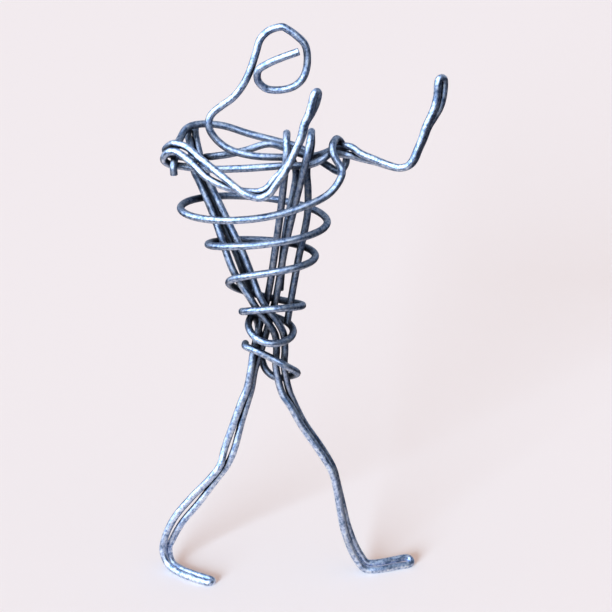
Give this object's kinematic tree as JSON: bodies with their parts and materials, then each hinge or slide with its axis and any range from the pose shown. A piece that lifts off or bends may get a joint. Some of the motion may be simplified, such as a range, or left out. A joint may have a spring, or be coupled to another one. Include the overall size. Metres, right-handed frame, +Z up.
{
  "type": "wire figure",
  "caption": "Striding human figure bent by hand from doubled steel wire, with a looped head, raised hairpin hands, a coiled torso and hairpin feet that it stands on.",
  "frame": {"origin": "on the floor, below the middle of the figure's bounding box", "axes": "+Z up; the chest faces -Y and the figure strides towards +X"},
  "size_m": [0.0792, 0.0338, 0.1582],
  "materials": {
    "wire": "galvanised, mottled, half bright"
  },
  "bodies": {
    "torso": {"torso_winding": "wire", "right_leg_strut_rear": "wire", "right_leg_strut_fore": "wire", "left_leg_strut_rear": "wire", "left_leg_strut_fore": "wire", "shoulder_strand_back": "wire", "shoulder_strand_front": "wire", "right_shoulder_curl": "wire", "neck_anchor": "wire"},
    "head": {"head_loop": "wire"},
    "right_upper_arm": {"right_upper_arm_upper": "wire", "right_upper_arm_lower": "wire"},
    "right_forearm": {"right_forearm": "wire"},
    "left_upper_arm": {"left_upper_arm_upper": "wire", "left_upper_arm_lower": "wire"},
    "left_forearm": {"left_forearm": "wire"},
    "right_thigh": {"right_thigh_rear": "wire", "right_thigh_fore": "wire"},
    "right_shin": {"right_shin_rear": "wire", "right_shin_fore": "wire"},
    "right_foot": {"right_foot": "wire"},
    "left_thigh": {"left_thigh_rear": "wire", "left_thigh_fore": "wire"},
    "left_shin": {"left_shin_rear": "wire", "left_shin_fore": "wire"},
    "left_foot": {"left_foot": "wire"}
  },
  "joints": [
    {"name": "neck", "type": "hinge", "parent": "torso", "child": "head", "pos_m": [-0.02383, 0.00303, 0.132], "axis": [0, 1, 0], "range_deg": [-30, 12]},
    {"name": "right_shoulder", "type": "hinge", "parent": "torso", "child": "right_upper_arm", "pos_m": [-0.03013, -0.00387, 0.1248], "axis": [0, 0, 1], "range_deg": [-60, 5]},
    {"name": "right_elbow", "type": "hinge", "parent": "right_upper_arm", "child": "right_forearm", "pos_m": [-0.00963, -0.01417, 0.1156], "axis": [0, 1, 0], "range_deg": [-45, 45]},
    {"name": "left_shoulder", "type": "hinge", "parent": "torso", "child": "left_upper_arm", "pos_m": [0.01668, 0.00003, 0.1227], "axis": [0, 1, 0], "range_deg": [-40, 40]},
    {"name": "left_elbow", "type": "hinge", "parent": "left_upper_arm", "child": "left_forearm", "pos_m": [0.02938, -0.00357, 0.1208], "axis": [0, 1, 0], "range_deg": [-40, 60]},
    {"name": "right_hip", "type": "hinge", "parent": "torso", "child": "right_thigh", "pos_m": [-0.01363, 0.00203, 0.05544], "axis": [0, 1, 0], "range_deg": [0, 25]},
    {"name": "right_knee", "type": "hinge", "parent": "right_thigh", "child": "right_shin", "pos_m": [-0.02103, 0.00103, 0.03293], "axis": [0, 1, 0], "range_deg": [0, 40]},
    {"name": "right_ankle", "type": "hinge", "parent": "right_shin", "child": "right_foot", "pos_m": [-0.03733, 0.00413, 0.00784], "axis": [0.7071, 0.7071, 0], "range_deg": [-15, 0]},
    {"name": "left_hip", "type": "hinge", "parent": "torso", "child": "left_thigh", "pos_m": [-0.00343, 0.00003, 0.05544], "axis": [0, 1, 0], "range_deg": [-25, 0]},
    {"name": "left_knee", "type": "hinge", "parent": "left_thigh", "child": "left_shin", "pos_m": [0.00967, 0.00053, 0.03192], "axis": [0, 1, 0], "range_deg": [-20, 0]},
    {"name": "left_ankle", "type": "hinge", "parent": "left_shin", "child": "left_foot", "pos_m": [0.01557, 0.00123, 0.00801], "axis": [-0.3697, 0.9292, 0], "range_deg": [-15, 0]}
  ]
}
